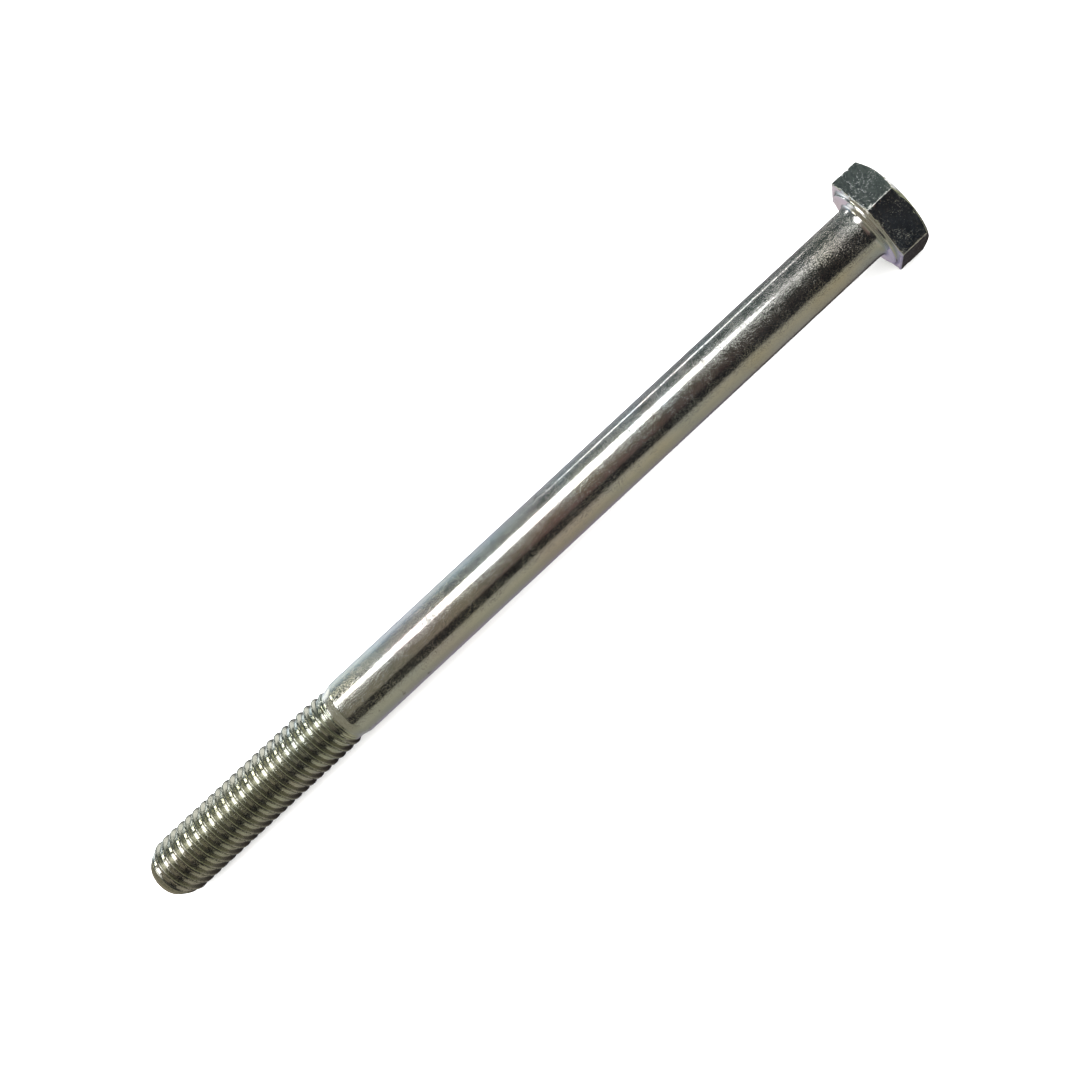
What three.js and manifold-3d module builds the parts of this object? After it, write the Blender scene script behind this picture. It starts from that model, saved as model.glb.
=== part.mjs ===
// A partially threaded hexagon head bolt, M8 x 120, forged and rolled from one piece of steel.
//
// Frame, in millimetres: the bolt's axis is X, with the head towards +X and the shank towards -X. The origin
// is on the axis, in the bearing plane under the head. Two of the head's six flats face +Z and -Z.

import * as THREE from "three";
import { mergeVertices } from "three/addons/utils/BufferGeometryUtils.js";
import Module from "manifold-3d";

// Head
const ACROSS_FLATS = 13;
const HEAD_HEIGHT = 5.3; // from the bearing plane to the top of the head
const CROWN_INSET = 0.325; // from each flat in to the edge of the flat top
const CROWN_CHAMFER_ANGLE = 30; // degrees, down from the flat top
const WASHER_FACE_INSET = 0.7; // from each flat in to the edge of the washer face
const WASHER_FACE_HEIGHT = 0.4;
const FILLET_RADIUS = 0.4; // between the shank and the bearing face

// Shank
const LENGTH = 120; // from the bearing plane to the end of the tip
const SHANK_DIAMETER = 7.88;
const SHOULDER_LENGTH = 1.6; // the rounded step from the neck up to the shank
const NECK_LENGTH = 0.4;

// Thread
const THREAD_DIAMETER = 7.96; // over the crests
const PITCH = 1.25;
const FLANK_ANGLE = 60; // degrees, between the two flanks of a groove
const CREST_WIDTH = PITCH / 8;
const THREAD_LENGTH = 30; // from the end of the tip to the neck
const NECK_DEPTH = 0.33; // from the crests down to the plain neck between the thread and the shank
const LAST_CREST_TAPER = 0.5; // length of the slope from the last crest down to the neck
const RUNOUT_TURNS = 1.25; // turns over which the groove lifts out of the blank
const TIP_CHAMFER_DEPTH = 0.93; // from the crests down to the edge of the tip's end face
const TIP_CHAMFER_LENGTH = 2.1;

// Facets
const FACETS = 36; // round the axis, a multiple of 4, shared by the blank and the groove
const FILLET_FACETS = 4;
const SHOULDER_FACETS = 5;
const OVERRUN = 1; // how far a cutting or trimming body stands clear of what it cuts

const CREST_RADIUS = THREAD_DIAMETER / 2;
const NECK_RADIUS = CREST_RADIUS - NECK_DEPTH;
const SHANK_RADIUS = SHANK_DIAMETER / 2;
const GROOVE_DEPTH = (17 / 24) * (PITCH / (2 * Math.tan(THREE.MathUtils.degToRad(FLANK_ANGLE / 2))));

const wasm = await Module();
wasm.setup();

/** A closed three.js geometry as a solid that can be joined and cut. */
function solidOf(geometry) {
  const bare = geometry.clone();
  bare.deleteAttribute("normal");
  bare.deleteAttribute("uv");
  const merged = mergeVertices(bare, 1e-4);
  return new wasm.Manifold(
    new wasm.Mesh({
      numProp: 3,
      vertProperties: new Float32Array(merged.attributes.position.array),
      triVerts: new Uint32Array(merged.index.array),
    }),
  );
}

/** A joined or cut solid as a three.js geometry. */
function geometryOf(solid) {
  const mesh = solid.getMesh();
  const geometry = new THREE.BufferGeometry();
  geometry.setAttribute("position", new THREE.BufferAttribute(mesh.vertProperties, mesh.numProp));
  geometry.setIndex(new THREE.BufferAttribute(mesh.triVerts, 1));
  geometry.computeVertexNormals();
  return geometry;
}

/** A solid turned about the X axis from a profile of [radius, x] points, which runs towards +X. */
function turned(profile) {
  const points = profile.map(([radius, x]) => new THREE.Vector2(radius, x));
  return solidOf(new THREE.LatheGeometry(points, FACETS).rotateZ(-Math.PI / 2));
}

/** The rounded step from the neck up to the shank, starting at x: a quarter of an ellipse. */
function shoulderProfile(x) {
  const rise = SHANK_RADIUS - NECK_RADIUS;
  return Array.from({ length: SHOULDER_FACETS + 1 }, (_, i) => {
    const angle = (i / SHOULDER_FACETS) * (Math.PI / 2);
    return [NECK_RADIUS + rise * Math.sin(angle), x + SHOULDER_LENGTH * (1 - Math.cos(angle))];
  });
}

/** The fillet from the shank out to the bearing plane: a quarter of a circle. */
function filletProfile() {
  const centre = SHANK_RADIUS + FILLET_RADIUS;
  return Array.from({ length: FILLET_FACETS + 1 }, (_, i) => {
    const angle = (i / FILLET_FACETS) * (Math.PI / 2);
    return [centre - FILLET_RADIUS * Math.cos(angle), -FILLET_RADIUS * (1 - Math.sin(angle))];
  });
}

/** The turned body before threading: tip, thread blank, neck, shank, fillet and washer face. */
function blank() {
  const tip = -LENGTH;
  const neck = tip + THREAD_LENGTH;
  const washerFaceRadius = ACROSS_FLATS / 2 - WASHER_FACE_INSET;
  const insideHead = WASHER_FACE_HEIGHT + (HEAD_HEIGHT - WASHER_FACE_HEIGHT) / 2;
  return turned([
    [0, tip],
    [CREST_RADIUS - TIP_CHAMFER_DEPTH, tip],
    [CREST_RADIUS, tip + TIP_CHAMFER_LENGTH],
    [CREST_RADIUS, neck - LAST_CREST_TAPER],
    [NECK_RADIUS, neck],
    ...shoulderProfile(neck + NECK_LENGTH),
    ...filletProfile(),
    [washerFaceRadius, 0],
    [washerFaceRadius, insideHead],
    [0, insideHead],
  ]);
}

/** The hexagonal prism of the head, trimmed by the cone of its top chamfer. */
function head() {
  const cornerRadius = ACROSS_FLATS / Math.sqrt(3);
  const corners = Array.from({ length: 6 }, (_, i) => {
    const angle = (i / 6) * 2 * Math.PI;
    return new THREE.Vector2(-cornerRadius * Math.sin(angle), cornerRadius * Math.cos(angle));
  });
  const height = HEAD_HEIGHT - WASHER_FACE_HEIGHT;
  const prism = new THREE.ExtrudeGeometry(new THREE.Shape(corners), { depth: height, bevelEnabled: false });
  prism.rotateY(Math.PI / 2).translate(WASHER_FACE_HEIGHT, 0, 0);
  const crownRadius = ACROSS_FLATS / 2 - CROWN_INSET;
  const outside = cornerRadius + OVERRUN;
  const drop = (outside - crownRadius) * Math.tan(THREE.MathUtils.degToRad(CROWN_CHAMFER_ANGLE));
  const crown = turned([
    [0, -OVERRUN],
    [outside, -OVERRUN],
    [outside, HEAD_HEIGHT - drop],
    [crownRadius, HEAD_HEIGHT],
    [0, HEAD_HEIGHT],
  ]);
  return solidOf(prism).intersect(crown);
}

/** The section of the groove: x along the axis from its middle, y the distance from the axis. */
function grooveSection() {
  const root = CREST_RADIUS - GROOVE_DEPTH;
  const mouth = (PITCH - CREST_WIDTH) / 2;
  const rootHalfWidth = mouth - GROOVE_DEPTH * Math.tan(THREE.MathUtils.degToRad(FLANK_ANGLE / 2));
  return new THREE.Shape([
    new THREE.Vector2(-rootHalfWidth, root),
    new THREE.Vector2(rootHalfWidth, root),
    new THREE.Vector2(mouth, CREST_RADIUS),
    new THREE.Vector2(mouth, CREST_RADIUS + OVERRUN),
    new THREE.Vector2(-mouth, CREST_RADIUS + OVERRUN),
    new THREE.Vector2(-mouth, CREST_RADIUS),
  ]);
}

/** The right-hand helical groove, from beyond the tip to the neck, where it lifts out of the blank. */
function groove() {
  const turns = Math.ceil((THREAD_LENGTH + PITCH) / PITCH);
  const start = -LENGTH + THREAD_LENGTH - turns * PITCH;
  const lift = GROOVE_DEPTH + OVERRUN / 4;
  const geometry = new THREE.ExtrudeGeometry(grooveSection(), {
    depth: turns,
    steps: turns * FACETS,
    bevelEnabled: false,
  });
  const position = geometry.attributes.position;
  for (let i = 0; i < position.count; i++) {
    const turn = position.getZ(i);
    const lifted = Math.max(0, (turn - turns + RUNOUT_TURNS) / RUNOUT_TURNS) * lift;
    const radius = position.getY(i) + lifted;
    const angle = turn * 2 * Math.PI;
    const x = start + turn * PITCH + position.getX(i);
    position.setXYZ(i, x, radius * Math.cos(angle), radius * Math.sin(angle));
  }
  return solidOf(geometry);
}

/** The whole bolt as one mesh. */
function bolt() {
  const solid = blank().subtract(groove()).add(head());
  const zincPlatedSteel = new THREE.MeshStandardMaterial({ color: 0x9a9c98, roughness: 0.25, metalness: 1 });
  const mesh = new THREE.Mesh(geometryOf(solid), zincPlatedSteel);
  mesh.name = "hex_bolt";
  return mesh;
}

const part = new THREE.Group();
part.add(bolt());

export default part;
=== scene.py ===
"""A long hexagon head bolt in bright zinc plated steel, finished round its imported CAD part.

The bolt's shape is built in millimetres in the part's own frame, with its axis along X, and turned into
metres at the end. One closed mesh stands for the one forged and rolled piece of steel.
"""

import logging
import math
from collections.abc import Callable
from dataclasses import dataclass, field
from enum import Enum

import bmesh
import bpy
from mathutils import Matrix, Vector, noise


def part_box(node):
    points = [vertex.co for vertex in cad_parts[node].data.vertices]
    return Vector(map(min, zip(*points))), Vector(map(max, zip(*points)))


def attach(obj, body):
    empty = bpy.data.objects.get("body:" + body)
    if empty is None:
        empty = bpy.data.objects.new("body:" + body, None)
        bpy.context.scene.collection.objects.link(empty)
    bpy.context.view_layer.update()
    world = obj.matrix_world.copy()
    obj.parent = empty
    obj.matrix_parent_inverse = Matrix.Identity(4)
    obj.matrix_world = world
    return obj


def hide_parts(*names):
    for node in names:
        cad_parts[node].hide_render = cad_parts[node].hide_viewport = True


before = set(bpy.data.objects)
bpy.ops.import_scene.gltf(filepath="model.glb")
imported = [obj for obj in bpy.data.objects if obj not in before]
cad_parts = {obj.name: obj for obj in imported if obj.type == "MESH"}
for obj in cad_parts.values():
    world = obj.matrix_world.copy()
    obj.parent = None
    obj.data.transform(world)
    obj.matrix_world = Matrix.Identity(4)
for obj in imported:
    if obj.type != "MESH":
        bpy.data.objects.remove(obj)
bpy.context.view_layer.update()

NODE = "hex_bolt"
BODY = "root"
METRES_PER_MILLIMETRE = 0.001

Triple = tuple[float, float, float]
Colour = Triple
Socket = bpy.types.NodeSocket
Source = Socket | float | tuple[float, ...]
log = logging.getLogger("hex_bolt")


def soft_min(a: float, b: float, blend: float) -> float:
    """The smaller of two values, with a rounded corner where they cross.

    Args:
        a: The first value.
        b: The second value.
        blend: The difference within which the corner is rounded.

    Returns:
        The blended smaller value.
    """
    overlap = max(blend - abs(a - b), 0.0)
    return min(a, b) - overlap * overlap / (4 * blend)


def soft_max(a: float, b: float, blend: float) -> float:
    """The larger of two values, with a rounded corner where they cross; see soft_min."""
    return -soft_min(-a, -b, blend)


def smooth_step(start: float, end: float, value: float) -> float:
    """A ramp from 0 at start to 1 at end with flat ends.

    Args:
        start: Where the ramp leaves 0.
        end: Where the ramp reaches 1.
        value: Where the ramp is read.

    Returns:
        The ramp's height at value.
    """
    share = min(max((value - start) / (end - start), 0.0), 1.0)
    return share * share * (3 - 2 * share)


def linear(display: Colour, gain: float = 1.0) -> Colour:
    """Turns a display colour with channels from 0 to 255 into a linear one.

    Args:
        display: The colour as it is seen.
        gain: A factor on the linear result.

    Returns:
        The linear colour.
    """
    share = [channel / 255 for channel in display]
    return tuple(gain * (c / 12.92 if c <= 0.04045 else ((c + 0.055) / 1.055) ** 2.4) for c in share)


class Zone(Enum):
    """The parts of the bolt's surface, which were made in different ways; each is a material slot."""

    THREAD = 0
    SHANK = 1
    SEAT = 2
    HEAD = 3


# ---------------------------------------------------------------------------------------------- shape


@dataclass
class RolledThread:
    """The right-hand thread rolled on the end of the bolt, in millimetres.

    Its crests and roots are rounded, it starts in a chamfer at the tip, and its last turns run out into a
    plain neck.
    """

    tip: float
    pitch: float = 1.25
    length: float = 30.0
    crest_radius: float = 3.98
    flank_angle: float = 60.0
    crest_width: float = 0.17
    depth: float = 0.57
    crest_blend: float = 0.07
    root_blend: float = 0.03
    seam_depth: float = 0.04
    seam_half_width: float = 0.14
    neck_radius: float = 3.65
    chamfer_depth: float = 1.45
    chamfer_length: float = 3.2
    chamfer_power: float = 1.8
    chamfer_blend: float = 0.1
    end_rounding: float = 0.3
    root_rise_length: float = 2.2
    root_rise_gap: float = 0.2
    crest_fall_length: float = 1.1
    runout_blend: float = 0.05
    flank_fade: tuple[float, float] = (0.09, 0.05)
    die_mark_spacing: float = 0.32
    die_mark_depth: float = 0.07
    die_mark_length: float = 2.3

    @property
    def end(self) -> float:
        """Where the thread ends and the neck begins, along X."""
        return self.tip + self.length

    def groove_wall(self, x: float, angle: float) -> float:
        """The radius of the endless thread, with the fine seam that rolling leaves along its crest.

        Args:
            x: The place along the axis.
            angle: The direction round the axis, in radians from +Y towards +Z.

        Returns:
            The distance of the surface from the axis.
        """
        turns = (x - self.end) / self.pitch - angle / math.tau
        from_groove = abs(turns - round(turns)) * self.pitch
        mouth = (self.pitch - self.crest_width) / 2
        steepness = 1 / math.tan(math.radians(self.flank_angle / 2))
        flank = self.crest_radius - (mouth - from_groove) * steepness
        root = self.crest_radius - self.depth
        wall = soft_min(self.crest_radius, soft_max(root, flank, self.root_blend), self.crest_blend)
        return wall - self.seam_depth * self.seam(x, angle)

    def radius(self, x: float, angle: float) -> float:
        """The radius of the thread with its tip chamfer and its runout.

        Args:
            x: The place along the axis.
            angle: The direction round the axis, in radians from +Y towards +Z.

        Returns:
            The distance of the surface from the axis.
        """
        root = self.crest_radius - self.depth
        rise = smooth_step(self.end - self.root_rise_length, self.end - self.root_rise_gap, x)
        lowest = root + (self.neck_radius - root) * rise
        fall = smooth_step(self.end - self.crest_fall_length, self.end, x)
        highest = self.crest_radius + (self.neck_radius - self.crest_radius) * fall
        lowered = soft_min(highest, self.groove_wall(x, angle), self.runout_blend)
        radius = soft_max(lowest, lowered, self.runout_blend) - self.die_mark(x)
        from_tip = x - self.tip
        cut = self.chamfer_depth * max(1 - from_tip / self.chamfer_length, 0.0) ** self.chamfer_power
        chamfer = self.crest_radius + self.chamfer_blend - cut
        radius = soft_min(radius, chamfer, self.chamfer_blend)
        if from_tip < self.end_rounding:
            across = self.end_rounding - from_tip
            radius -= self.end_rounding - math.sqrt(max(self.end_rounding**2 - across**2, 0.0))
        return radius

    def die_mark(self, x: float) -> float:
        """The depth of the fine rings that the ends of the rolling dies leave in the last turns.

        Args:
            x: The place along the axis.

        Returns:
            The depth of the ring there.
        """
        before_end = self.end - x
        if not 0 <= before_end <= self.die_mark_length:
            return 0.0
        wave = 0.5 - 0.5 * math.cos(math.tau * before_end / self.die_mark_spacing)
        strength = smooth_step(self.die_mark_length, self.die_mark_length / 2, before_end)
        return self.die_mark_depth * wave * strength

    def from_crest(self, x: float, angle: float) -> float:
        """The distance along X from the nearest crest; see groove_wall."""
        turns = (x - self.end) / self.pitch - angle / math.tau
        return (0.5 - abs(turns - round(turns))) * self.pitch

    def seam(self, x: float, angle: float) -> float:
        """How near a place lies to the crest's seam, from 0 beside it to 1 in it; see groove_wall."""
        return max(1 - self.from_crest(x, angle) / self.seam_half_width, 0.0)

    def flank(self, x: float, angle: float) -> float:
        """Tells the flanks from the crests and the roots.

        Args:
            x: The place along the axis.
            angle: The direction round the axis, in radians from +Y towards +Z.

        Returns:
            1 on a flank, 0 on a crest or in a root.
        """
        run = self.depth * math.tan(math.radians(self.flank_angle / 2))
        middle = (self.crest_width + run) / 2
        inside, outside = self.flank_fade
        from_middle = abs(self.from_crest(x, angle) - middle)
        return 1 - smooth_step(run / 2 - inside, run / 2 + outside, from_middle)


@dataclass
class DrawnShank:
    """The plain shank between the neck and the head's fillet, in millimetres."""

    start: float
    radius: float = 3.94
    neck_length: float = 0.1
    shoulder_length: float = 1.15
    shoulder_blend: float = 0.05
    flare_length: float = 1.1
    wound_share: float = 1.5
    ring_spacing: float = 3.5
    waviness: float = 0.006
    wave_length: float = 14.0

    def radius_at(self, x: float, angle: float, neck_radius: float) -> float:
        """The radius of the neck, the shoulder and the shank.

        Args:
            x: The place along the axis.
            angle: The direction round the axis, in radians.
            neck_radius: The radius of the neck, where the shoulder starts.

        Returns:
            The distance of the surface from the axis.
        """
        share = max((x - self.start - self.neck_length) / self.shoulder_length, 0.0)
        cone = neck_radius + (self.radius - neck_radius) * share
        shoulder = soft_min(cone, self.radius, self.shoulder_blend)
        place = Vector((x / self.wave_length, math.cos(angle) / 2, math.sin(angle) / 2))
        return shoulder + self.waviness * min(share, 1.0) * noise.noise(place)


@dataclass
class HexHead:
    """The forged and trimmed hexagon head with its fillet and washer face, in millimetres."""

    height: float
    across_flats: float
    washer_face_inset: float = 0.7
    washer_face_height: float = 0.4
    fillet_radius: float = 0.4
    fillet_steps: int = 9
    crown_inset: float = 0.325
    crown_chamfer_angle: float = 30.0
    seat_rings: int = 4
    side_rows: int = 11
    crown_rings: int = 9
    edge_rounding: float = 0.16
    washer_edge_rounding: float = 0.06
    flat_unevenness: float = 0.016
    flat_wave_length: float = 3.2
    dent_depth: float = 0.018
    dent_wave_length: float = 0.75
    edge_nick_depth: float = 0.22
    edge_nick_length: float = 0.75
    edge_nick_floor: float = 0.2
    edge_nick_offset: Vector = Vector((7, 3, 1))

    @property
    def washer_face_radius(self) -> float:
        """The outer radius of the washer face."""
        return self.across_flats / 2 - self.washer_face_inset

    @property
    def crown_radius(self) -> float:
        """The radius of the flat top, where the chamfer ends."""
        return self.across_flats / 2 - self.crown_inset

    def outline(self, angle: float) -> float:
        """The distance of the hexagon from the axis, with corners at 0 degrees and every 60 from there.

        Args:
            angle: The direction round the axis, in radians.

        Returns:
            The distance in that direction.
        """
        sixth = math.tau / 6
        from_flat = (angle % sixth) - sixth / 2
        return self.across_flats / 2 / math.cos(from_flat)

    def shoulder_height(self, angle: float) -> float:
        """Where the top chamfer meets a side of the hexagon, along X; see outline."""
        drop = math.tan(math.radians(self.crown_chamfer_angle))
        return self.height - (self.outline(angle) - self.crown_radius) * drop


@dataclass
class HexBolt:
    """The whole bolt as one closed mesh, with the finishes of its zones."""

    length: float
    head: HexHead
    thread: RolledThread
    shank: DrawnShank
    columns: int = 120
    rows_per_pitch: int = 20
    tip_rings: int = 5
    edge_segments: int = 3
    merge_distance: float = 1e-4
    slack: float = 0.02
    name: str = "bright_zinc_bolt"
    rings: dict[str, list[bmesh.types.BMEdge]] = field(default_factory=dict)

    def angle_of(self, column: int) -> float:
        """The direction of a column of corners round the axis, in radians."""
        return column * math.tau / self.columns

    def column_of(self, corner: bmesh.types.BMVert) -> int:
        """The column that a corner belongs to."""
        angle = math.atan2(corner.co.z, corner.co.y)
        return round(angle * self.columns / math.tau) % self.columns

    def place(self, corner: bmesh.types.BMVert, column: int, radius: float, x: float) -> None:
        """Moves a corner to a radius and a place along X in its column."""
        angle = self.angle_of(column)
        corner.co = (x, radius * math.cos(angle), radius * math.sin(angle))

    def surface_radius(self, x: float, angle: float) -> float:
        """The radius of the thread, the neck and the shank at one place.

        Args:
            x: The place along the axis.
            angle: The direction round the axis, in radians.

        Returns:
            The distance of the surface from the axis.
        """
        if x < self.thread.end:
            return self.thread.radius(x, angle)
        return self.shank.radius_at(x, angle, self.thread.neck_radius)

    def wind_thread(self, bm: bmesh.types.BMesh) -> None:
        """Spins a line of corners once round the axis and one pitch on, into rows that follow the thread.

        The first and the last turn narrow down to a wedge, so that both ends are flat rings. The rows run on
        over the neck and the shoulder.

        Args:
            bm: The mesh that receives the surface.
        """
        pitch = self.thread.pitch
        past_end = self.shank.neck_length + self.shank.wound_share * self.shank.shoulder_length
        turns = math.ceil((self.thread.length + past_end) / pitch) + 1
        start = self.thread.tip - pitch
        places = [start + pitch * i / self.rows_per_pitch for i in range(turns * self.rows_per_pitch + 1)]
        corners = [bm.verts.new((x, self.shank.radius, 0.0)) for x in places]
        line = [bm.edges.new(pair) for pair in zip(corners, corners[1:])]
        bmesh.ops.spin(
            bm,
            geom=corners + line,
            cent=(0, 0, 0),
            axis=(1, 0, 0),
            dvec=(pitch / self.columns, 0, 0),
            angle=math.tau,
            steps=self.columns,
            use_merge=False,
            use_duplicate=False,
        )
        for corner in bm.verts:
            column = self.column_of(corner)
            around = column / self.columns
            row = (corner.co.x - start) / pitch - around
            row = round(row * self.rows_per_pitch) / self.rows_per_pitch
            turned = row + around
            if row < 1:
                turned = 1 + row * around
            elif row > turns - 1:
                share = min(row - turns + 1, 1.0)
                turned = (around + turns - 1) * (1 - share) + turns * share
            x = start + pitch * min(turned, turns)
            self.place(corner, column, self.surface_radius(x, self.angle_of(column)), x)
        bmesh.ops.remove_doubles(bm, verts=bm.verts, dist=self.merge_distance)
        ends = [edge for edge in bm.edges if edge.is_boundary]
        middle = start + pitch * turns / 2
        self.rings["tip"] = [edge for edge in ends if edge.verts[0].co.x < middle]
        self.rings["front"] = [edge for edge in ends if edge.verts[0].co.x > middle]

    def grow(
        self,
        bm: bmesh.types.BMesh,
        ring: str,
        placing: Callable[[float], tuple[float, float]],
    ) -> None:
        """Extrudes an open ring of edges and moves the new ring to its place.

        Args:
            bm: The mesh being built.
            ring: The name of the open ring, which becomes the new ring.
            placing: Gives the new radius and place along X for a direction round the axis.
        """
        made = bmesh.ops.extrude_edge_only(bm, edges=self.rings[ring])["geom"]
        corners = {item for item in made if isinstance(item, bmesh.types.BMVert)}
        for corner in corners:
            column = self.column_of(corner)
            radius, x = placing(self.angle_of(column))
            self.place(corner, column, radius, x)
        edges = [item for item in made if isinstance(item, bmesh.types.BMEdge)]
        self.rings[ring] = [edge for edge in edges if all(corner in corners for corner in edge.verts)]

    def close(self, bm: bmesh.types.BMesh, ring: str) -> None:
        """Fills an open ring with a fan of triangles."""
        made = bmesh.ops.contextual_create(bm, geom=self.rings[ring])
        bmesh.ops.poke(bm, faces=made["faces"])

    def add_tip_face(self, bm: bmesh.types.BMesh) -> None:
        """Closes the tip with its flat end face.

        Args:
            bm: The mesh being built.
        """
        radius = self.thread.radius(self.thread.tip, 0.0)
        for i in range(1, self.tip_rings + 1):
            inner = radius * (1 - i / (self.tip_rings + 1))
            self.grow(bm, "tip", lambda angle, inner=inner: (inner, self.thread.tip))
        self.close(bm, "tip")

    def add_shank(self, bm: bmesh.types.BMesh) -> None:
        """Carries the surface along the shank and out along the flared fillet to the bearing face.

        Args:
            bm: The mesh being built.
        """
        start = self.rings["front"][0].verts[0].co.x
        flare = self.shank.flare_length
        count = round((-flare - start) / self.shank.ring_spacing)
        for i in range(1, count + 1):
            x = start + (-flare - start) * i / count
            self.grow(bm, "front", lambda angle, x=x: (self.surface_radius(x, angle), x))
        for i in range(1, self.head.fillet_steps + 1):
            turn = i / self.head.fillet_steps * math.pi / 2
            radius = self.shank.radius + self.head.fillet_radius * (1 - math.cos(turn))
            x = -flare * (1 - math.sin(turn))
            self.grow(bm, "front", lambda angle, radius=radius, x=x: (radius, x))

    def add_seat(self, bm: bmesh.types.BMesh) -> None:
        """Adds the washer face, its edge and the underside of the hexagon.

        Args:
            bm: The mesh being built.
        """
        head = self.head
        inner = self.shank.radius + head.fillet_radius
        rim = head.washer_face_radius
        for i in range(1, head.seat_rings + 1):
            radius = inner + (rim - inner) * i / head.seat_rings
            self.grow(bm, "front", lambda angle, radius=radius: (radius, 0.0))
        self.keep("washer_face_edge")
        self.grow(bm, "front", lambda angle: (rim, head.washer_face_height))
        for share in (0.5, 1.0):
            self.grow(
                bm,
                "front",
                lambda angle, share=share: (
                    rim + (head.outline(angle) - rim) * share,
                    head.washer_face_height,
                ),
            )
        self.keep("underside_edge")

    def add_sides(self, bm: bmesh.types.BMesh) -> None:
        """Adds the six flats up to the arcs where the top chamfer cuts them.

        Args:
            bm: The mesh being built.
        """
        head = self.head
        low = head.washer_face_height
        for i in range(1, head.side_rows + 1):
            share = i / head.side_rows
            self.grow(
                bm,
                "front",
                lambda angle, share=share: (
                    head.outline(angle),
                    low + (head.shoulder_height(angle) - low) * share,
                ),
            )
        self.keep("arcs")

    def add_crown(self, bm: bmesh.types.BMesh) -> None:
        """Adds the top chamfer and the flat top of the head.

        Args:
            bm: The mesh being built.
        """
        head = self.head
        self.grow(bm, "front", lambda angle: (head.crown_radius, head.height))
        self.keep("crown_edge")
        for i in range(1, head.crown_rings + 1):
            radius = head.crown_radius * (1 - i / (head.crown_rings + 1))
            self.grow(bm, "front", lambda angle, radius=radius: (radius, head.height))
        self.close(bm, "front")

    def keep(self, name: str) -> None:
        """Remembers the present front ring's edges under a name, to be rounded later."""
        self.rings[name] = list(self.rings["front"])

    def corner_edges(self, bm: bmesh.types.BMesh) -> list[bmesh.types.BMEdge]:
        """The upright edges at the six corners of the hexagon.

        Args:
            bm: The mesh being built.

        Returns:
            The edges, from the underside to the chamfer.
        """
        per_side = self.columns // 6
        outside = self.head.outline(0.0) - self.slack

        def at_corner(corner: bmesh.types.BMVert) -> bool:
            """Tells whether a corner lies on an upright edge of the hexagon."""
            radius = math.hypot(corner.co.y, corner.co.z)
            return self.column_of(corner) % per_side == 0 and radius > outside

        return [edge for edge in bm.edges if all(at_corner(corner) for corner in edge.verts)]

    def round_edges(self, bm: bmesh.types.BMesh) -> None:
        """Rounds the edges of the head and marks the rounded strips as worn.

        Args:
            bm: The mesh being built.
        """
        wear = bm.verts.layers.float.new("edge_wear")
        hexagon = self.rings["underside_edge"] + self.rings["arcs"] + self.rings["crown_edge"]
        groups = [
            (self.rings["washer_face_edge"], self.head.washer_edge_rounding),
            (hexagon + self.corner_edges(bm), self.head.edge_rounding),
        ]
        for edges, offset in groups:
            rounded = bmesh.ops.bevel(
                bm,
                geom=edges,
                offset=offset,
                offset_type="OFFSET",
                affect="EDGES",
                segments=self.edge_segments,
                profile=0.5,
                material=-1,
                clamp_overlap=True,
            )
            for face in rounded["faces"]:
                for corner in face.verts:
                    corner[wear] = 1.0

    def roughen_head(self, bm: bmesh.types.BMesh) -> None:
        """Gives the flats the slight unevenness of a forging, and nicks the edges of the hexagon.

        Args:
            bm: The mesh being built.
        """
        head = self.head
        wear = bm.verts.layers.float["edge_wear"]
        outside = head.washer_face_radius + head.washer_edge_rounding + 2 * self.slack
        fine = [
            edge
            for edge in bm.edges
            if all(math.hypot(corner.co.y, corner.co.z) > outside for corner in edge.verts)
        ]
        bmesh.ops.subdivide_edges(bm, edges=fine, cuts=1, use_grid_fill=True)
        bm.normal_update()
        for corner in bm.verts:
            if math.hypot(corner.co.y, corner.co.z) < outside:
                continue
            swell = noise.noise(corner.co / head.flat_wave_length)
            dent = noise.noise(corner.co / head.dent_wave_length)
            broken = noise.noise(corner.co / head.edge_nick_length + head.edge_nick_offset)
            nick = max(broken - head.edge_nick_floor, 0.0)
            raised = head.flat_unevenness * swell + head.dent_depth * dent * (1 - corner[wear])
            corner.co += corner.normal * (raised - head.edge_nick_depth * nick * corner[wear])

    def mark_zones(self, bm: bmesh.types.BMesh) -> None:
        """Gives each face its zone's material slot, and marks the thread's flanks and its crest's seam.

        Args:
            bm: The mesh being built.
        """
        seam = bm.verts.layers.float.new("crest_seam")
        flank = bm.verts.layers.float.new("thread_flank")
        for corner in bm.verts:
            if corner.co.x < self.thread.end - self.thread.pitch / 2:
                angle = self.angle_of(self.column_of(corner))
                corner[seam] = self.thread.seam(corner.co.x, angle)
                corner[flank] = self.thread.flank(corner.co.x, angle)
        for face in bm.faces:
            face.material_index = self.zone_of(face).value
            face.smooth = True

    def zone_of(self, face: bmesh.types.BMFace) -> Zone:
        """The zone that a face belongs to.

        Args:
            face: The face.

        Returns:
            The zone, told from the face's place and from whether it faces the tip.
        """
        middle = face.calc_center_median()
        away = math.hypot(middle.y, middle.z)
        facing_tip = face.normal.x < -0.5
        in_washer_face = away < self.head.washer_face_radius + self.slack and middle.x < self.head.height / 2
        if middle.x < self.thread.end:
            return Zone.THREAD
        if away < self.shank.radius + 1.5 * self.slack and middle.x < 0:
            return Zone.SHANK
        if facing_tip or in_washer_face:
            return Zone.SEAT
        return Zone.HEAD

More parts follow.
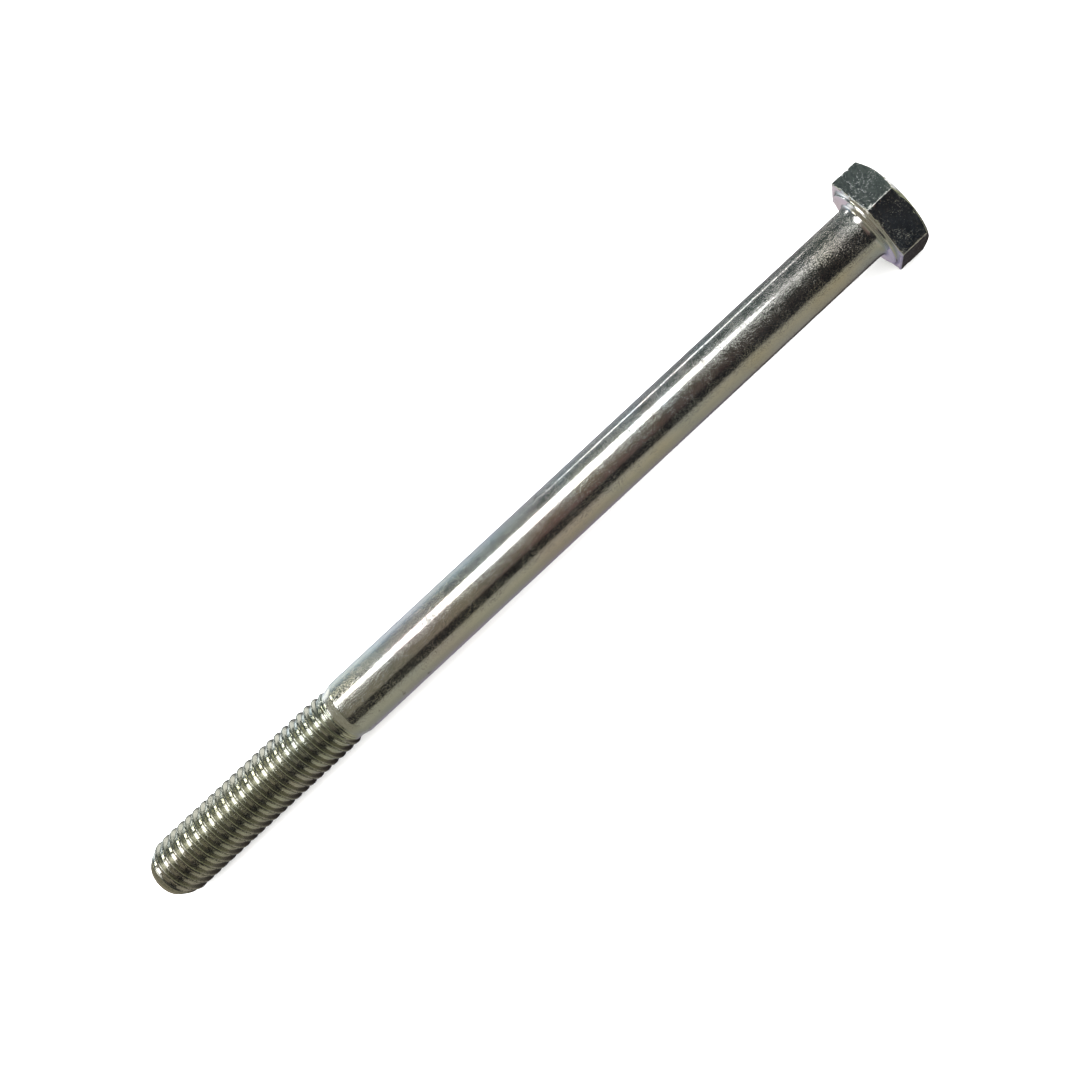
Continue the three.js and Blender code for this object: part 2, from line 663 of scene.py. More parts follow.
    def build(self, finishes: dict[Zone, bpy.types.Material]) -> bpy.types.Object:
        """Makes the bolt's mesh and its object, in metres, with its materials.

        Args:
            finishes: The material of each zone.

        Returns:
            The bolt.
        """
        bm = bmesh.new()
        self.wind_thread(bm)
        self.add_tip_face(bm)
        self.add_shank(bm)
        self.add_seat(bm)
        self.add_sides(bm)
        self.add_crown(bm)
        bmesh.ops.recalc_face_normals(bm, faces=bm.faces)
        self.round_edges(bm)
        self.roughen_head(bm)
        bm.normal_update()
        self.mark_zones(bm)
        bmesh.ops.scale(bm, vec=(METRES_PER_MILLIMETRE,) * 3, verts=bm.verts)
        mesh = bpy.data.meshes.new(self.name)
        bm.to_mesh(mesh)
        bm.free()
        for zone in Zone:
            mesh.materials.append(finishes[zone])
        bolt = bpy.data.objects.new(self.name, mesh)
        bpy.context.scene.collection.objects.link(bolt)
        weighting = bolt.modifiers.new("even_shading", "WEIGHTED_NORMAL")
        weighting.mode = "FACE_AREA"
        weighting.weight = 50
        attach(bolt, BODY)
        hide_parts(NODE)
        return bolt


# -------------------------------------------------------------------------------------------- finishes


class NodeBoard:
    """A short way to add and join the nodes of one material or group."""

    def __init__(self, tree: bpy.types.NodeTree) -> None:
        """Keeps the tree that the nodes are added to."""
        self.tree = tree

    def add(self, kind: str, **settings: object) -> bpy.types.Node:
        """Adds a node.

        Args:
            kind: The node's type name.
            settings: Properties to set on the node.

        Returns:
            The node.
        """
        made = self.tree.nodes.new(kind)
        for name, value in settings.items():
            setattr(made, name, value)
        return made

    def feed(self, target: Socket, source: Source) -> None:
        """Joins an output to an input, or sets the input's own value.

        Args:
            target: The input.
            source: The output socket, or the value.
        """
        if isinstance(source, Socket):
            self.tree.links.new(source, target)
        else:
            target.default_value = source

    def math(self, operation: str, *values: Source) -> Socket:
        """Adds a math node.

        Args:
            operation: The operation's name.
            values: Its inputs, each an output socket or a number.

        Returns:
            The result's socket.
        """
        made = self.add("ShaderNodeMath", operation=operation)
        for socket, value in zip(made.inputs, values):
            self.feed(socket, value)
        return made.outputs[0]

    def between(
        self,
        value: Source,
        low: Source,
        high: Source,
        to_low: float = 0.0,
        to_high: float = 1.0,
    ) -> Socket:
        """Maps a value smoothly from one range to another.

        Args:
            value: The output socket to map.
            low: Where the result is to_low.
            high: Where the result is to_high.
            to_low: The result's first end.
            to_high: The result's second end.

        Returns:
            The mapped value's socket.
        """
        made = self.add("ShaderNodeMapRange", interpolation_type="SMOOTHSTEP")
        for socket, number in zip(made.inputs, (value, low, high, to_low, to_high)):
            self.feed(socket, number)
        return made.outputs[0]

    def mix(self, share: Source, first: Source, second: Source) -> Socket:
        """Blends two colours.

        Args:
            share: The second colour's share.
            first: A colour or an output socket.
            second: A colour or an output socket.

        Returns:
            The blended colour's socket.
        """
        made = self.add("ShaderNodeMix", data_type="RGBA")
        self.feed(made.inputs["Factor"], share)
        for socket, colour in zip((made.inputs[6], made.inputs[7]), (first, second)):
            self.feed(socket, (*colour, 1.0) if isinstance(colour, tuple) else colour)
        return made.outputs[2]

    def noise(self, place: Source, per_metre: Source, detail: float, rough: float = 0.5) -> Socket:
        """Adds a noise texture.

        Args:
            place: The socket of the coordinates.
            per_metre: How many of its blobs fit in a metre.
            detail: Its number of octaves.
            rough: The strength of the finer octaves.

        Returns:
            The socket of its value.
        """
        made = self.add("ShaderNodeTexNoise")
        self.feed(made.inputs["Vector"], place)
        self.feed(made.inputs["Scale"], per_metre)
        made.inputs["Detail"].default_value = detail
        made.inputs["Roughness"].default_value = rough
        return made.outputs["Fac"]

    def mapped(self, place: Source, turn: Triple, stretch: Triple) -> Socket:
        """Turns and then stretches coordinates.

        Args:
            place: The socket of the coordinates.
            turn: The turns about X, Y and Z, in degrees.
            stretch: The factors along X, Y and Z.

        Returns:
            The socket of the new coordinates.
        """
        made = self.add("ShaderNodeMapping", vector_type="POINT")
        self.feed(made.inputs["Vector"], place)
        made.inputs["Rotation"].default_value = [math.radians(angle) for angle in turn]
        made.inputs["Scale"].default_value = stretch
        return made.outputs[0]


class SharedGroup:
    """A node group with named sockets, built once and placed in each material."""

    name: str = ""
    inputs: dict[str, tuple[str, Source | None]] = {}
    outputs: dict[str, str] = {}

    def __init__(self) -> None:
        """Makes the group's tree and its sockets, and fills it."""
        self.tree = bpy.data.node_groups.new(self.name, "ShaderNodeTree")
        for name, (kind, value) in self.inputs.items():
            socket = self.tree.interface.new_socket(name, in_out="INPUT", socket_type=kind)
            if value is not None:
                socket.default_value = value
        for name, kind in self.outputs.items():
            self.tree.interface.new_socket(name, in_out="OUTPUT", socket_type=kind)
        self.board = NodeBoard(self.tree)
        self.enter = self.board.add("NodeGroupInput").outputs
        self.leave = self.board.add("NodeGroupOutput").inputs
        self.fill()

    def fill(self) -> None:
        """Adds the group's own nodes."""
        raise NotImplementedError

    def placed(self, board: NodeBoard, **values: Source) -> bpy.types.NodeOutputs:
        """Places the group in a material.

        Args:
            board: The material's nodes.
            values: An output socket or a number for each named input, with _ for spaces.

        Returns:
            The group's outputs.
        """
        made = board.add("ShaderNodeGroup", node_tree=self.tree)
        for name, value in values.items():
            board.feed(made.inputs[name.replace("_", " ")], value)
        return made.outputs


class PlatingGrain(SharedGroup):
    """The orange peel of a bright zinc plate, and the fine crystals that stand out of it here and there."""

    name = "plating_grain"
    inputs = {
        "Place": ("NodeSocketVector", None),
        "Peel per metre": ("NodeSocketFloat", 1600.0),
        "Grain per metre": ("NodeSocketFloat", 7000.0),
        "Peel depth": ("NodeSocketFloat", 0.5),
        "Grain depth": ("NodeSocketFloat", 0.5),
    }
    outputs = {"Height": "NodeSocketFloat"}

    patches_per_metre = 420.0
    grain_from, grain_full = 0.5, 0.76

    def fill(self) -> None:
        """Adds a soft peel and a patchy, sparse grain."""
        board, enter = self.board, self.enter
        peel = board.noise(enter["Place"], enter["Peel per metre"], detail=2.0)
        crystals = board.noise(enter["Place"], enter["Grain per metre"], detail=2.0, rough=0.6)
        grain = board.between(crystals, self.grain_from, self.grain_full)
        broad = board.noise(enter["Place"], self.patches_per_metre, detail=2.0)
        patches = board.between(broad, 0.3, 0.7, to_low=0.4)
        grain_height = board.math("MULTIPLY", board.math("MULTIPLY", grain, enter["Grain depth"]), patches)
        height = board.math("MULTIPLY_ADD", peel, enter["Peel depth"], grain_height)
        board.feed(self.leave["Height"], height)


class HandlingScratches(SharedGroup):
    """Fine scratches in a few directions and short deeper nicks."""

    name = "handling_scratches"
    inputs = {
        "Place": ("NodeSocketVector", None),
        "Amount": ("NodeSocketFloat", 1.0),
        "Nicks": ("NodeSocketFloat", 1.0),
    }
    outputs = {"Lines": "NodeSocketFloat", "Nick mask": "NodeSocketFloat"}

    directions = ((20.0, 35.0, 12.0), (64.0, -28.0, 55.0), (-35.0, 10.0, -40.0))
    line_stretch = (420.0, 8000.0, 8000.0)
    breaks_per_metre = 330.0
    nicks_per_metre = 2600.0
    nick_groups_per_metre = 380.0

    def fill(self) -> None:
        """Adds one set of stretched, broken lines for each direction, and nicks from cell edges."""
        board, enter = self.board, self.enter
        total = None
        for turn in self.directions:
            stretched = board.mapped(enter["Place"], turn, self.line_stretch)
            lines = board.between(board.noise(stretched, 1.0, detail=1.0), 0.67, 0.73)
            breaks = board.noise(enter["Place"], self.breaks_per_metre, detail=1.0)
            lines = board.math("MULTIPLY", lines, board.between(breaks, 0.5, 0.62))
            total = lines if total is None else board.math("MAXIMUM", total, lines)
        spots = board.noise(enter["Place"], self.nicks_per_metre, detail=2.0, rough=0.7)
        groups = board.noise(enter["Place"], self.nick_groups_per_metre, detail=2.0)
        gathered = board.between(groups, 0.52, 0.66)
        nicks = board.math("MULTIPLY", board.between(spots, 0.58, 0.66), gathered)
        board.feed(self.leave["Lines"], board.math("MULTIPLY", total, enter["Amount"]))
        board.feed(self.leave["Nick mask"], board.math("MULTIPLY", nicks, enter["Nicks"]))


class PassivationTint(SharedGroup):
    """The faint blue, straw and rose clouds of a clear passivation, with dried water stains."""

    name = "passivation_tint"
    inputs = {
        "Place": ("NodeSocketVector", None),
        "Plate": ("NodeSocketColor", (0.7, 0.7, 0.7, 1.0)),
        "Stains": ("NodeSocketFloat", 1.0),
    }
    outputs = {"Colour": "NodeSocketColor", "Stain mask": "NodeSocketFloat"}

    blue: Colour = (0.60, 0.70, 0.76)
    straw: Colour = (0.78, 0.73, 0.58)
    rose: Colour = (0.76, 0.64, 0.63)
    stain: Colour = (0.36, 0.35, 0.31)
    cloud_strength = 0.5
    stain_strength = 0.55
    stains_per_metre = 520.0
    stain_groups_per_metre = 140.0

    def fill(self) -> None:
        """Adds three broad clouds of colour and small ragged stains."""
        board, enter = self.board, self.enter
        colour = enter["Plate"]
        clouds = ((self.blue, 75.0, 0.0), (self.straw, 95.0, 3.0), (self.rose, 60.0, 9.0))
        for hue, per_metre, offset in clouds:
            shifted = board.add("ShaderNodeVectorMath", operation="ADD")
            board.feed(shifted.inputs[0], enter["Place"])
            board.feed(shifted.inputs[1], (offset, offset, offset))
            broad = board.noise(shifted.outputs[0], per_metre, detail=2.0)
            cloud = board.between(broad, 0.48, 0.68, to_high=self.cloud_strength)
            colour = board.mix(cloud, colour, hue)
        edges = board.noise(enter["Place"], self.stains_per_metre, detail=4.0, rough=0.65)
        groups = board.noise(enter["Place"], self.stain_groups_per_metre, detail=1.0)
        ragged = board.between(edges, 0.6, 0.68)
        gathered = board.between(groups, 0.5, 0.62)
        mask = board.math("MULTIPLY", board.math("MULTIPLY", ragged, gathered), enter["Stains"])
        stained = board.mix(board.math("MULTIPLY", mask, self.stain_strength), colour, self.stain)
        board.feed(self.leave["Colour"], stained)
        board.feed(self.leave["Stain mask"], mask)


class EdgeWear(SharedGroup):
    """Bare, burnished metal on the rounded edges, broken up along them."""

    name = "edge_wear"
    inputs = {
        "Place": ("NodeSocketVector", None),
        "Edge": ("NodeSocketFloat", 0.0),
    }
    outputs = {"Mask": "NodeSocketFloat"}

    breaks_per_metre = 900.0

    def fill(self) -> None:
        """Lets the edge show where a ragged pattern allows."""
        board, enter = self.board, self.enter
        breaks = board.noise(enter["Place"], self.breaks_per_metre, detail=3.0, rough=0.65)
        ragged = board.between(breaks, 0.35, 0.6, to_low=0.15)
        board.feed(self.leave["Mask"], board.math("MULTIPLY", enter["Edge"], ragged))


@dataclass(frozen=True)
class SharedGroups:
    """The node groups that every plated finish uses."""

    grain: PlatingGrain
    scratches: HandlingScratches
    tint: PassivationTint
    wear: EdgeWear


@dataclass(frozen=True)
class PlatedFinish:
    """Bright zinc plate on one zone of the bolt."""

    name: str
    plate: Colour
    roughness: tuple[float, float]
    peel_depth: float
    relief: float
    scratches: float
    nicks: float
    grain_depth: float = 0.5
    peel_per_metre: float = 1600.0
    grain_per_metre: float = 6500.0
    stains: float = 1.0
    draw_marks: float = 0.0
    # Painted shade: the strength of the dark broken line painted along the thread's crest seam; when it is
    # set, the flanks get their painted shade too.
    painted_thread_shade: float = 0.0
    nick_roughness: float = 0.1
    scratch_depth: float = 0.25
    nick_depth: float = 0.5
    scratch_roughness: float = 0.1
    stain_roughness: float = 0.12
    flank_roughness: float = 0.08
    nick_shine: float = 0.5
    clouds_per_metre: float = 260.0
    draw_stretch: Triple = (60.0, 3800.0, 3800.0)
    seam_breaks_per_metre: float = 4800.0
    # Painted shade: the thread's flanks are darkened towards a dark olive colour, standing in for the dim
    # reflection inside the grooves.
    flank_shade_share: float = 0.85
    worn: Colour = (0.86, 0.86, 0.84)
    flank_shade_colour: Colour = (0.40, 0.40, 0.33)
    # Painted shade: the dark colour of the line painted along the crest seam.
    crest_shade_colour: Colour = (0.08, 0.08, 0.065)

    def material(self, groups: SharedGroups) -> bpy.types.Material:
        """Builds the material of this finish.

        Args:
            groups: The node groups that the finish shares with the others.

        Returns:
            The material.
        """
        made = bpy.data.materials.new(self.name)
        made.use_nodes = True
        made.node_tree.nodes.clear()
        board = NodeBoard(made.node_tree)
        place = board.add("ShaderNodeTexCoord").outputs["Object"]
        grain = groups.grain.placed(
            board,
            Place=place,
            Peel_per_metre=self.peel_per_metre,
            Grain_per_metre=self.grain_per_metre,
            Peel_depth=self.peel_depth,
            Grain_depth=self.grain_depth,
        )
        scratches = groups.scratches.placed(board, Place=place, Amount=self.scratches, Nicks=self.nicks)
        tint = groups.tint.placed(board, Place=place, Plate=(*self.plate, 1.0), Stains=self.stains)
        edge = board.add("ShaderNodeAttribute", attribute_name="edge_wear").outputs["Fac"]
        wear = groups.wear.placed(board, Place=place, Edge=edge)
        colour = board.mix(wear["Mask"], tint["Colour"], self.worn)
        shiny = board.math("MULTIPLY", scratches["Nick mask"], self.nick_shine)
        colour = board.mix(shiny, colour, self.worn)
        if self.painted_thread_shade:
            # Painted shade: the flanks are darkened towards a dark olive, standing in for the dim reflection
            # in the grooves.
            flank = board.add("ShaderNodeAttribute", attribute_name="thread_flank").outputs["Fac"]
            colour = board.mix(board.math("MULTIPLY", flank, self.flank_shade_share), colour, self.flank_shade_colour)
            # Painted shade: a broken dark line along the crest seam, standing in for the shade in the seam's
            # crease.
            seam = board.add("ShaderNodeAttribute", attribute_name="crest_seam").outputs["Fac"]
            breaks = board.noise(place, self.seam_breaks_per_metre, detail=1.0)
            broken = board.between(breaks, 0.35, 0.6, to_low=0.25)
            shaded_crest = board.math("MULTIPLY", board.between(seam, 0.15, 0.6, to_high=self.painted_thread_shade), broken)
            colour = board.mix(shaded_crest, colour, self.crest_shade_colour)
        relief = board.math("MULTIPLY_ADD", scratches["Lines"], -self.scratch_depth, grain["Height"])
        relief = board.math("MULTIPLY_ADD", scratches["Nick mask"], -self.nick_depth, relief)
        if self.draw_marks:
            drawn = board.noise(board.mapped(place, (0.0, 0.0, 0.0), self.draw_stretch), 1.0, detail=3.0)
            relief = board.math("MULTIPLY_ADD", drawn, self.draw_marks, relief)
        bump = board.add("ShaderNodeBump")
        bump.inputs["Strength"].default_value = 1.0
        bump.inputs["Distance"].default_value = self.relief
        board.feed(bump.inputs["Height"], relief)
        smooth, rough = self.roughness
        clouds = board.noise(place, self.clouds_per_metre, detail=3.0)
        dulled = board.between(clouds, 0.3, 0.7, smooth, rough)
        dulled = board.math("MULTIPLY_ADD", tint["Stain mask"], self.stain_roughness, dulled)
        dulled = board.math("MULTIPLY_ADD", scratches["Lines"], self.scratch_roughness, dulled)
        dulled = board.math("MULTIPLY_ADD", scratches["Nick mask"], self.nick_roughness, dulled)
        if self.painted_thread_shade:
            dulled = board.math("MULTIPLY_ADD", flank, self.flank_roughness, dulled)
        shader = board.add("ShaderNodeBsdfPrincipled")
        shader.inputs["Metallic"].default_value = 1.0
        board.feed(shader.inputs["Base Color"], colour)
        board.feed(shader.inputs["Roughness"], dulled)
        board.feed(shader.inputs["Normal"], bump.outputs["Normal"])
        target = board.add("ShaderNodeOutputMaterial")
        board.feed(target.inputs["Surface"], shader.outputs["BSDF"])
        return made


def plated_finishes() -> dict[Zone, bpy.types.Material]:
    """Makes the finish of each zone.

    Returns:
        The material of each zone.
    """
    groups = SharedGroups(PlatingGrain(), HandlingScratches(), PassivationTint(), EdgeWear())
    finishes = {
        Zone.THREAD: PlatedFinish(
            name="rolled_thread_zinc",
            plate=(0.72, 0.735, 0.64),
            roughness=(0.06, 0.1),
            peel_depth=0.2,
            relief=3.2e-5,
            grain_per_metre=4800.0,
            scratches=0.15,
            nicks=0.3,
            stains=0.5,
            # The painted shade on the flanks and along the crest seam.
            painted_thread_shade=0.72,
        ),
        Zone.SHANK: PlatedFinish(
            name="drawn_shank_zinc",
            plate=(0.74, 0.74, 0.71),
            roughness=(0.05, 0.09),
            peel_depth=0.16,
            relief=4.2e-5,
            grain_per_metre=7400.0,
            scratches=0.06,
            nicks=0.08,
            draw_marks=0.03,
        ),
        Zone.SEAT: PlatedFinish(
            name="bearing_face_zinc",
            plate=(0.76, 0.74, 0.73),
            roughness=(0.09, 0.15),
            peel_depth=0.4,
            relief=1.4e-5,
            scratches=0.3,
            nicks=0.5,
        ),
        Zone.HEAD: PlatedFinish(
            name="forged_head_zinc",
            plate=(0.72, 0.73, 0.72),
            roughness=(0.07, 0.12),
            peel_depth=0.8,
            relief=4.4e-5,
            peel_per_metre=1900.0,
            grain_per_metre=3800.0,
            scratches=0.3,
            nicks=0.6,
            nick_roughness=0.2,
        ),
    }
    return {zone: finish.material(groups) for zone, finish in finishes.items()}


# ---------------------------------------------------------------------------------------------- studio


@dataclass(frozen=True)
class Band:
    """A strip of the surroundings: its angle from straight up, towards -Y, in degrees, and its colour."""

    angle: float
    shade: Colour


@dataclass(frozen=True)
class SoftBox:
    """A soft elliptical light: its place, its length along X and its width in metres, and its look."""

    name: str
    place: Vector
    size: tuple[float, float]
    brightness: float
    colour: Colour = (1.0, 1.0, 1.0)


@dataclass
class Studio:
    """A plain pale floor, soft lights overhead and plain surroundings for the plate to mirror.

    The surroundings change from beyond the tip to past the head. Each fade is a pair of angles from straight
    across the bolt towards the head, in degrees: where the next surroundings begin and are complete.
    """

    boxes: tuple[SoftBox, ...] = (
        SoftBox("overhead", Vector((-0.175, 0.05, 0.8)), (0.5, 0.44), 2.4),
        SoftBox("overhead_by_tip", Vector((-0.475, 0.05, 0.72)), (0.2, 0.4), 2.7),
        SoftBox("far_strip", Vector((-0.03, 0.72, 0.36)), (0.28, 0.075), 3.6),
        SoftBox("tip_light", Vector((-0.53, 0.53, 0.61)), (0.2, 0.3), 3.4, (1.0, 1.0, 0.8)),
    )
    boxes_face: Vector = Vector((-0.05, 0, 0))
    plate_gain: float = 1.36
    backdrop: float = 1.0
    fill: float = 3.2
    floor_size: float = 3.0
    floor_colour: Colour = (0.93, 0.93, 0.925)
    floor_roughness: float = 0.7
    floor_shine: float = 0.2
    beyond_tip: tuple[Band, ...] = (
        Band(-180, (124, 124, 122)),
        Band(-140, (138, 138, 142)),
        Band(-112, (190, 200, 206)),
        Band(-96, (248, 252, 255)),
        Band(-76, (248, 252, 255)),
        Band(-66, (130, 138, 140)),
        Band(-52, (96, 104, 104)),
        Band(-24, (88, 90, 80)),
        Band(14, (80, 80, 66)),
        Band(30, (86, 86, 70)),
        Band(60, (84, 82, 68)),
        Band(65, (28, 27, 20)),
        Band(94, (26, 26, 22)),
        Band(99, (104, 104, 90)),
        Band(134, (128, 128, 112)),
        Band(172, (118, 118, 112)),
        Band(180, (124, 124, 122)),
    )
    towards_tip: tuple[Band, ...] = (
        Band(-180, (122, 120, 124)),
        Band(-144, (124, 117, 137)),
        Band(-136, (186, 176, 184)),
        Band(-124, (128, 132, 138)),
        Band(-112, (182, 195, 203)),
        Band(-91, (202, 217, 226)),
        Band(-75, (150, 168, 179)),
        Band(-62, (104, 120, 130)),
        Band(-48, (64, 74, 79)),
        Band(-24, (66, 71, 69)),
        Band(14, (112, 111, 103)),
        Band(30, (108, 105, 94)),
        Band(50, (117, 114, 99)),
        Band(61, (112, 108, 95)),
        Band(65, (20, 19, 16)),
        Band(95, (17, 17, 16)),
        Band(99, (122, 121, 110)),
        Band(106, (136, 136, 123)),
        Band(134, (138, 137, 122)),
        Band(146, (126, 126, 113)),
        Band(172, (121, 121, 116)),
        Band(180, (126, 122, 130)),
    )
    middle: tuple[Band, ...] = (
        Band(-180, (122, 119, 122)),
        Band(-144, (120, 113, 133)),
        Band(-136, (182, 172, 180)),
        Band(-124, (104, 106, 110)),
        Band(-110, (152, 156, 160)),
        Band(-90, (122, 125, 127)),
        Band(-62, (106, 111, 112)),
        Band(-42, (80, 84, 82)),
        Band(-24, (86, 90, 85)),
        Band(14, (118, 115, 106)),
        Band(28, (108, 101, 91)),
        Band(38, (98, 85, 76)),
        Band(54, (96, 75, 69)),
        Band(64, (76, 58, 55)),
        Band(69, (19, 15, 15)),
        Band(93, (16, 15, 15)),
        Band(98, (122, 117, 107)),
        Band(106, (144, 139, 124)),
        Band(128, (146, 139, 120)),
        Band(146, (129, 125, 107)),
        Band(170, (127, 123, 112)),
        Band(180, (122, 119, 122)),
    )
    towards_head: tuple[Band, ...] = (
        Band(-180, (112, 108, 106)),
        Band(-170, (48, 44, 44)),
        Band(-152, (46, 42, 43)),
        Band(-142, (110, 104, 122)),
        Band(-124, (84, 86, 88)),
        Band(-112, (118, 122, 122)),
        Band(-90, (58, 64, 64)),
        Band(-72, (96, 104, 104)),
        Band(-54, (50, 57, 57)),
        Band(-42, (52, 60, 60)),
        Band(-28, (58, 66, 65)),
        Band(-10, (82, 88, 86)),
        Band(8, (80, 84, 80)),
        Band(22, (46, 49, 46)),
        Band(32, (26, 28, 27)),
        Band(54, (24, 26, 27)),
        Band(64, (9, 10, 13)),
        Band(93, (9, 10, 13)),
        Band(98, (118, 115, 106)),
        Band(106, (142, 138, 121)),
        Band(124, (139, 133, 115)),
        Band(146, (130, 127, 113)),
        Band(170, (128, 126, 118)),
        Band(180, (112, 108, 106)),
    )
    at_head: tuple[Band, ...] = (
        Band(-180, (66, 62, 60)),
        Band(-166, (42, 38, 38)),
        Band(-152, (42, 38, 38)),
        Band(-138, (130, 128, 128)),
        Band(-126, (255, 255, 255)),
        Band(-96, (255, 255, 255)),
        Band(-84, (130, 136, 134)),
        Band(-66, (84, 91, 88)),
        Band(-42, (70, 78, 75)),
        Band(-22, (92, 98, 93)),
        Band(-8, (225, 228, 224)),
        Band(14, (225, 228, 224)),
        Band(26, (84, 86, 80)),
        Band(38, (22, 24, 27)),
        Band(76, (15, 18, 23)),
        Band(120, (17, 19, 23)),
        Band(132, (150, 147, 138)),
        Band(148, (140, 136, 128)),
        Band(166, (90, 86, 82)),
        Band(180, (66, 62, 60)),
    )
    past_tip: Colour = (122, 119, 103)
    past_head: Colour = (130, 131, 108)
    towards_tip_fade: tuple[float, float] = (-24.0, -21.0)
    middle_fade: tuple[float, float] = (-18.0, -8.0)
    towards_head_fade: tuple[float, float] = (-7.0, 6.0)
    at_head_fade: tuple[float, float] = (11.3, 13.0)
    past_tip_fade: tuple[float, float] = (-37.0, -46.0)
    past_head_fade: tuple[float, float] = (48.0, 62.0)

    def ramp(self, board: NodeBoard, share: Source, bands: tuple[Band, ...]) -> Socket:
        """Adds a colour ramp through some bands.

        Args:
            board: The world's nodes.
            share: The angle from straight up, from 0 at -180 degrees to 1 at 180.
            bands: The bands, in order of angle.

        Returns:
            The ramp's colour.
        """
        made = board.add("ShaderNodeValToRGB")
        board.feed(made.inputs["Fac"], share)
        stops = made.color_ramp.elements
        while len(stops) < len(bands):
            stops.new(0.5)
        for stop, band in zip(stops, bands):
            stop.position = (band.angle + 180) / 360
        for stop, band in zip(stops, bands):
            stop.color = (*linear(band.shade, self.plate_gain), 1.0)
        return made.outputs["Color"]

    def surround(self) -> None:
        """Makes the world: plain white behind and around, and graded bands in the mirror of the plate."""
        world = bpy.data.worlds.new("studio")
        world.use_nodes = True
        world.node_tree.nodes.clear()
        board = NodeBoard(world.node_tree)
        direction = board.add("ShaderNodeSeparateXYZ")
        board.feed(direction.inputs[0], board.add("ShaderNodeTexCoord").outputs["Generated"])
        x, y, z = direction.outputs
        from_up = board.math("ARCTAN2", board.math("MULTIPLY", y, -1.0), z)
        share = board.math("MULTIPLY_ADD", from_up, 1 / math.tau, 0.5)
        along = board.math("MULTIPLY", board.math("ARCSINE", x), 180 / math.pi)
        mirrored = self.ramp(board, share, self.beyond_tip)
        for fade, bands in (
            (self.towards_tip_fade, self.towards_tip),
            (self.middle_fade, self.middle),
            (self.towards_head_fade, self.towards_head),
            (self.at_head_fade, self.at_head),
        ):
            mirrored = board.mix(board.between(along, *fade), mirrored, self.ramp(board, share, bands))
        for (start, end), shade in (
            (self.past_tip_fade, self.past_tip),
            (self.past_head_fade, self.past_head),
        ):
            end_on = board.between(along, end, start, to_low=1.0, to_high=0.0)
            mirrored = board.mix(end_on, mirrored, linear(shade, self.plate_gain))
        path = board.add("ShaderNodeLightPath").outputs
        plain = board.mix(path["Is Camera Ray"], (self.fill,) * 3, (self.backdrop,) * 3)
        background = board.add("ShaderNodeBackground")
        board.feed(background.inputs["Color"], board.mix(path["Is Glossy Ray"], plain, mirrored))
        target = board.add("ShaderNodeOutputWorld")
        board.feed(target.inputs["Surface"], background.outputs[0])
        bpy.context.scene.world = world

    def hang(self, box: SoftBox) -> None:
        """Hangs a soft light that faces the bolt.

        Args:
            box: The light.
        """
        length, width = box.size
        data = bpy.data.lights.new(box.name, "AREA")
        data.shape = "ELLIPSE"
        data.size, data.size_y = box.size
        data.color = box.colour
        data.energy = box.brightness * math.pi * (math.pi / 4 * length * width)
        light = bpy.data.objects.new(box.name, data)
        back = (box.place - self.boxes_face).normalized()
        across = Vector((1, 0, 0)) - back * back.x
        across.normalize()
        up = back.cross(across)
        turn = Matrix((across, up, back)).transposed()
        light.matrix_world = Matrix.Translation(box.place) @ turn.to_4x4()
        light.visible_camera = False
        bpy.context.scene.collection.objects.link(light)

    def lights(self) -> None:
        """Hangs the overhead lights, the low strip behind the bolt and the light beyond its tip."""
        for box in self.boxes:
            self.hang(box)

    def floor(self, contact: Vector, slope: float) -> None:
        """Lays the pale floor that the bolt rests on.

        Args:
            contact: The point where the head touches it, in metres.
            slope: Its rise towards the tip.
        """
        bm = bmesh.new()
        bmesh.ops.create_grid(bm, x_segments=2, y_segments=2, size=self.floor_size)
        mesh = bpy.data.meshes.new("floor")
        bm.to_mesh(mesh)
        bm.free()
        floor = bpy.data.objects.new("floor", mesh)
        floor.location = contact
        floor.rotation_euler = (0.0, math.atan(slope), 0.0)
        floor.visible_glossy = False
        paint = bpy.data.materials.new("pale_floor")
        paint.use_nodes = True
        shader = paint.node_tree.nodes["Principled BSDF"]
        shader.inputs["Base Color"].default_value = (*self.floor_colour, 1.0)
        shader.inputs["Roughness"].default_value = self.floor_roughness
        shader.inputs["Specular IOR Level"].default_value = self.floor_shine
        mesh.materials.append(paint)
        bpy.context.scene.collection.objects.link(floor)


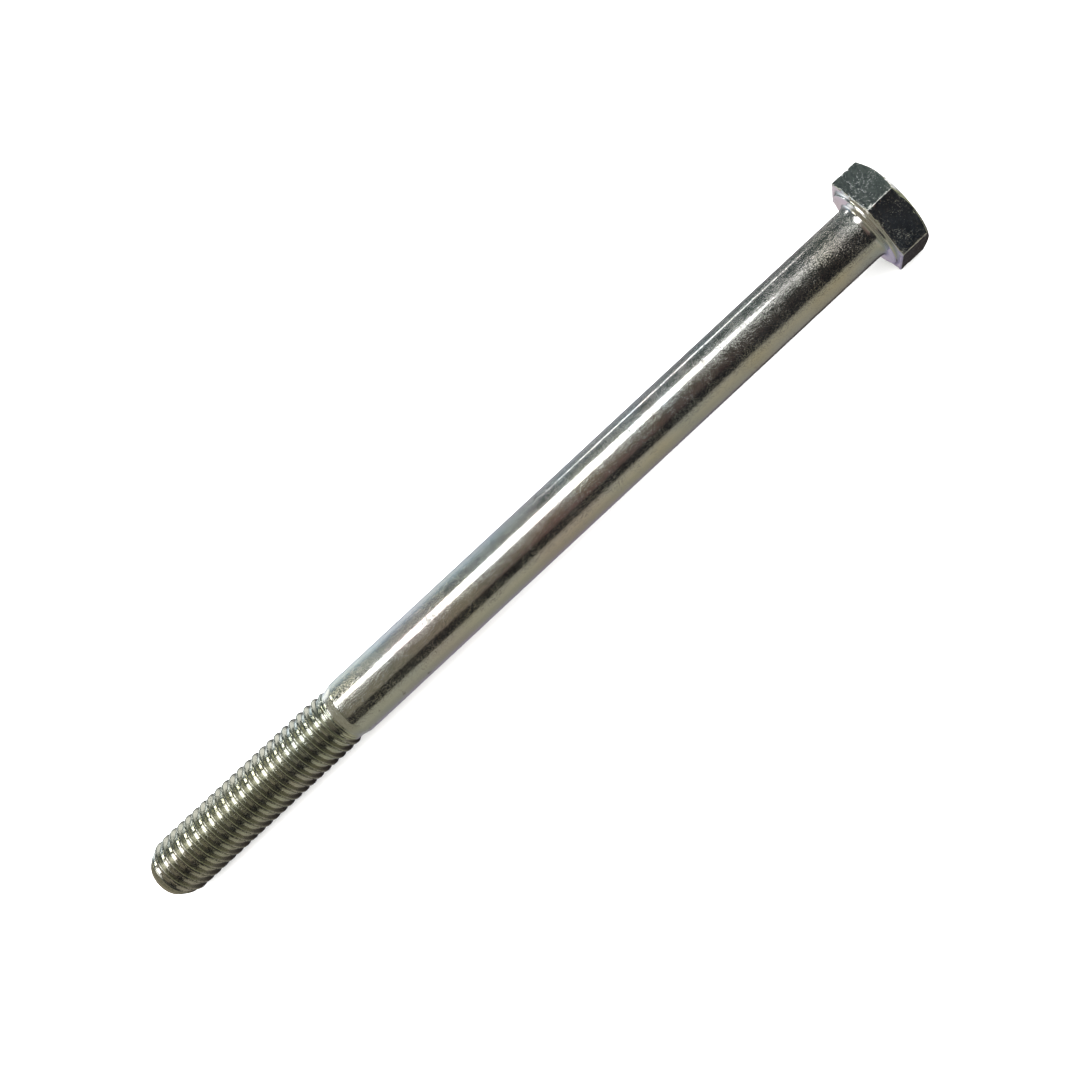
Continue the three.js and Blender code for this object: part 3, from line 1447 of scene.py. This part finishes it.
@dataclass(frozen=True)
class ProductCamera:
    """A camera close above the bolt's near side, its picture plane nearly parallel to the bolt's axis.

    Its sensor's height sets the field of view. The narrower width makes the tools' views from other sides
    stand back, so that the shifted lens keeps the whole bolt in them.
    """

    elevation: float = 49.1
    swing: float = 1.2
    roll: float = 42.91
    distance: float = 0.1528
    lens: float = 40.0
    sensor: tuple[float, float] = (25.5, 36.0)
    shift: tuple[float, float] = (-0.1607, -0.1492)
    clipping: tuple[float, float] = (0.01, 20.0)
    aim: Vector = Vector((-0.02707, -0.00064, -0.00056))

    def make(self) -> None:
        """Makes the camera and gives it to the scene."""
        data = bpy.data.cameras.new("product_camera")
        data.lens = self.lens
        data.sensor_fit = "VERTICAL"
        data.sensor_width, data.sensor_height = self.sensor
        data.shift_x, data.shift_y = self.shift
        data.clip_start, data.clip_end = self.clipping
        rise, swing, turn = (math.radians(angle) for angle in (self.elevation, self.swing, self.roll))
        level_back = Vector((0, -math.cos(rise), math.sin(rise)))
        up = Vector((0, math.sin(rise), math.cos(rise)))
        along = Vector((1, 0, 0))
        right = along * math.cos(swing) + level_back * math.sin(swing)
        back = level_back * math.cos(swing) - along * math.sin(swing)
        rolled_right = right * math.cos(turn) - up * math.sin(turn)
        rolled_up = up * math.cos(turn) + right * math.sin(turn)
        facing = Matrix((rolled_right, rolled_up, back)).transposed()
        camera = bpy.data.objects.new("product_camera", data)
        camera.matrix_world = Matrix.Translation(self.aim + back * self.distance) @ facing.to_4x4()
        bpy.context.scene.collection.objects.link(camera)
        bpy.context.scene.camera = camera


def main() -> None:
    """Builds the bolt, its finishes and the studio."""
    logging.basicConfig(level=logging.INFO, format="%(name)s: %(message)s")
    lowest, highest = (corner / METRES_PER_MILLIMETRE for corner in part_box(NODE))
    ProductCamera().make()
    thread = RolledThread(tip=lowest.x)
    bolt = HexBolt(
        length=-lowest.x,
        head=HexHead(height=highest.x, across_flats=highest.z - lowest.z),
        thread=thread,
        shank=DrawnShank(start=thread.end),
    )
    piece = bolt.build(plated_finishes())
    log.info("%s: %d faces", piece.name, len(piece.data.polygons))
    studio = Studio()
    studio.surround()
    studio.lights()
    head_edge = Vector((bolt.head.washer_face_height, 0, lowest.z)) * METRES_PER_MILLIMETRE
    fall = (-lowest.z - thread.crest_radius) / (bolt.length - thread.chamfer_length)
    studio.floor(head_edge, fall)
    bpy.context.scene.view_settings.view_transform = "Standard"


if __name__ == "__main__":
    main()
